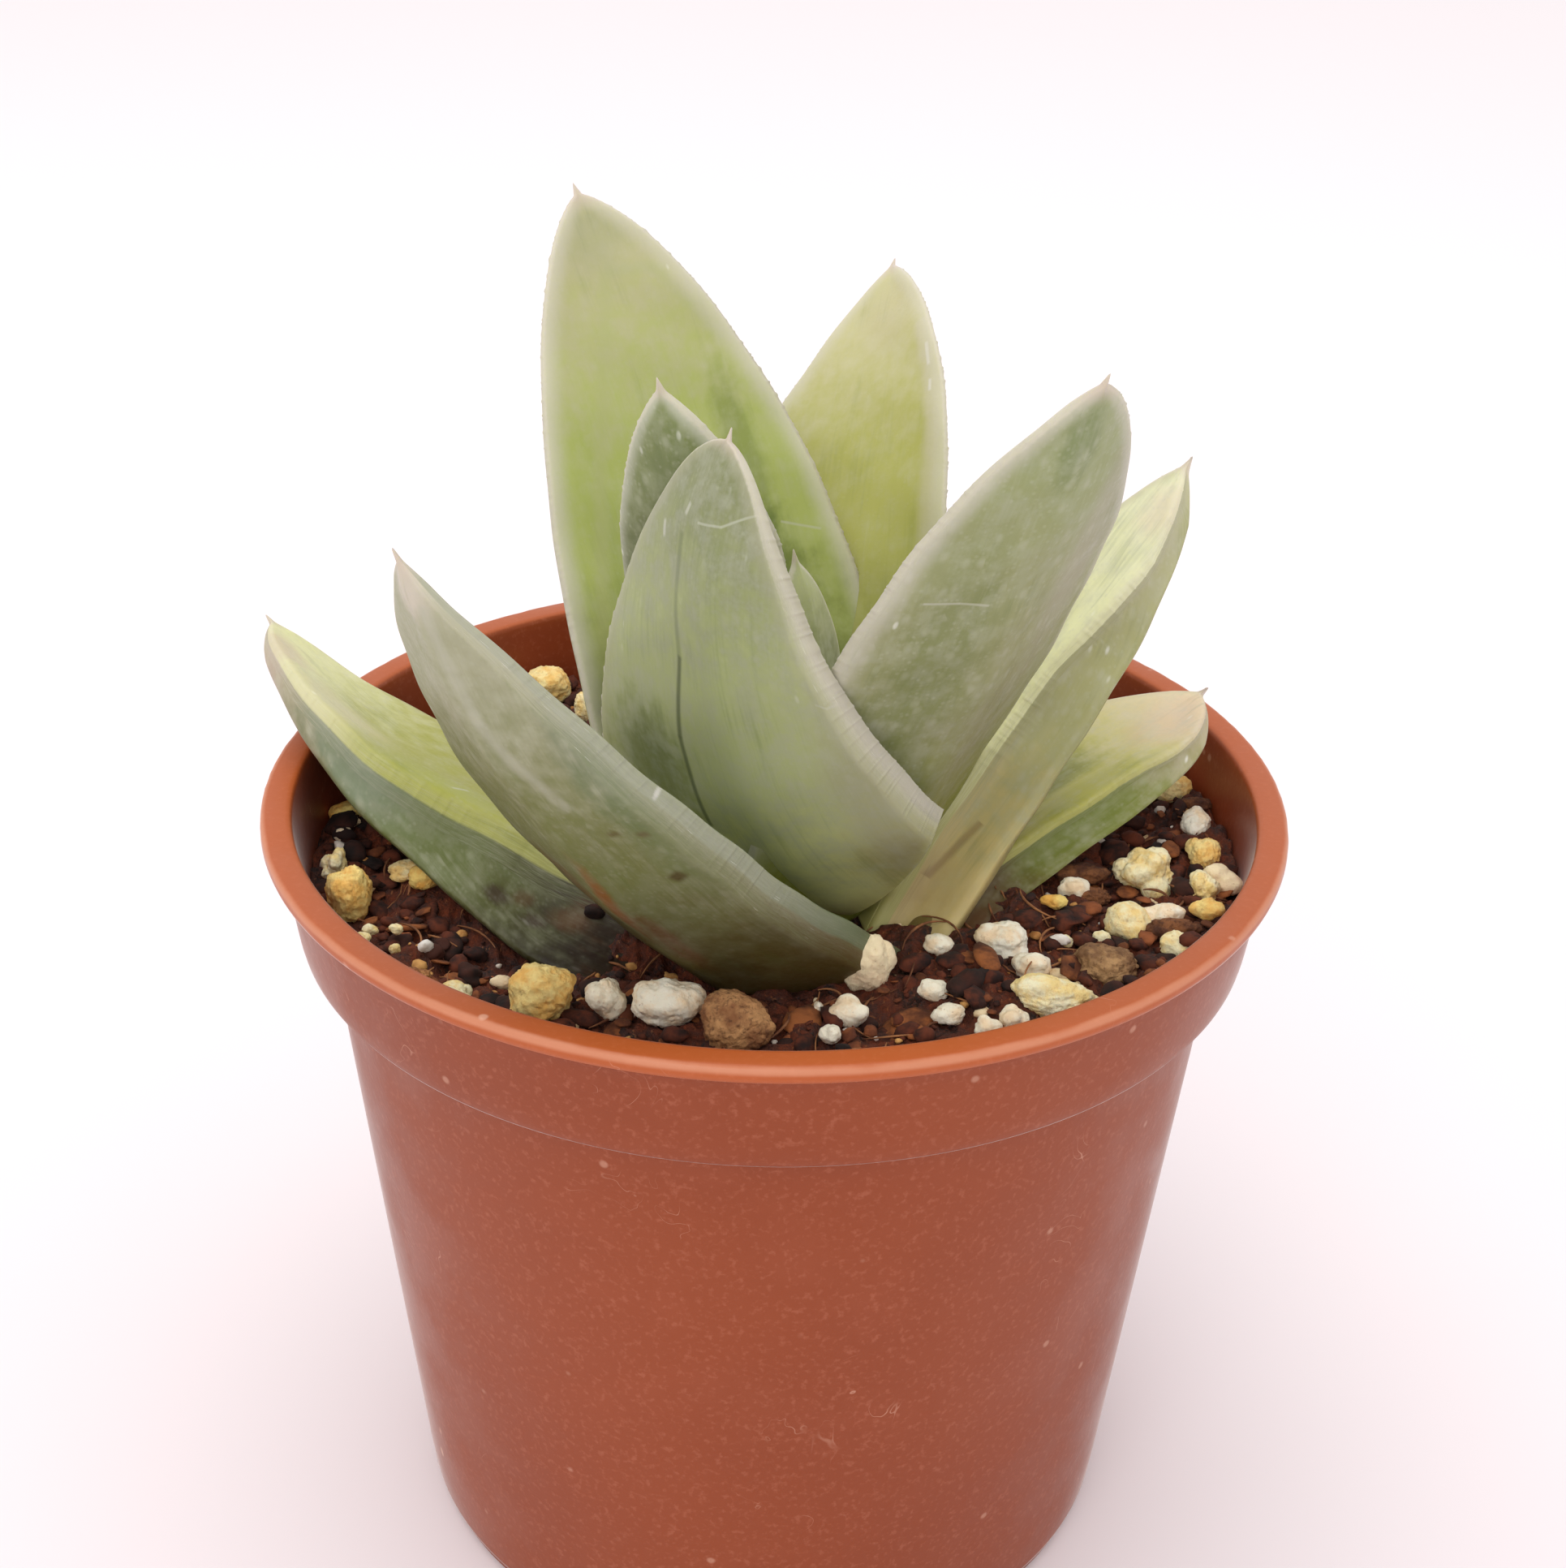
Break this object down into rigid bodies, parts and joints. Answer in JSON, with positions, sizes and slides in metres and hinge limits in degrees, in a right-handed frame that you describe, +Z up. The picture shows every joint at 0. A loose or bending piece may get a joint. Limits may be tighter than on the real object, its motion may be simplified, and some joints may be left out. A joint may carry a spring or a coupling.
{
  "type": "potted gasteraloe",
  "caption": "Young gasteraloe rosette of thick, keeled, pointed leaves in gritty potting mix, in a round tapered nursery pot with a banded rim.",
  "frame": {"origin": "centre of the pot's foot, on the surface the pot stands on", "axes": "+Z up along the pot's axis; +X to the right and +Y to the back as the picture shows the pot"},
  "size_m": [0.0876, 0.085, 0.1141],
  "materials": {
    "terracotta_plastic": "semi-matt moulded plastic",
    "potting_mix": "rough and crumbly",
    "stem_and_roots": "matt",
    "leaf_grey_green": "satin with a pale bloom",
    "leaf_yellow_green": "satin",
    "perlite": "rough white grain",
    "pumice": "rough porous grain",
    "clay": "rough",
    "bark": "rough"
  },
  "bodies": {
    "root": {"bark_right": "bark", "clay_fuzzy": "clay", "clay_left": "clay", "clay_lump": "clay", "leaf_back_right": "leaf_yellow_green", "leaf_front_centre": "leaf_grey_green", "leaf_front_left": "leaf_grey_green", "leaf_front_right": "leaf_grey_green", "leaf_heart": "leaf_grey_green", "leaf_inner_left": "leaf_grey_green", "leaf_low_left": "leaf_yellow_green", "leaf_low_right": "leaf_grey_green", "leaf_right": "leaf_yellow_green", "leaf_tall_back_left": "leaf_yellow_green", "perlite_cluster": "perlite", "perlite_front_left": "perlite", "perlite_front_right": "perlite", "perlite_right": "perlite", "perlite_right_low": "perlite", "perlite_upright": "perlite", "pot": "terracotta_plastic", "pumice_back_crumb": "pumice", "pumice_back_left": "pumice", "pumice_back_right": "pumice", "pumice_cream": "pumice", "pumice_front_crumb": "pumice", "pumice_front_left": "pumice", "pumice_left_flat": "pumice", "pumice_left_orange": "pumice", "pumice_left_wall": "pumice", "pumice_right_cream": "pumice", "pumice_right_orange": "pumice", "pumice_right_rough": "pumice", "pumice_right_wall": "pumice", "soil": "potting_mix", "stem_with_roots": "stem_and_roots"}
  },
  "joints": []
}
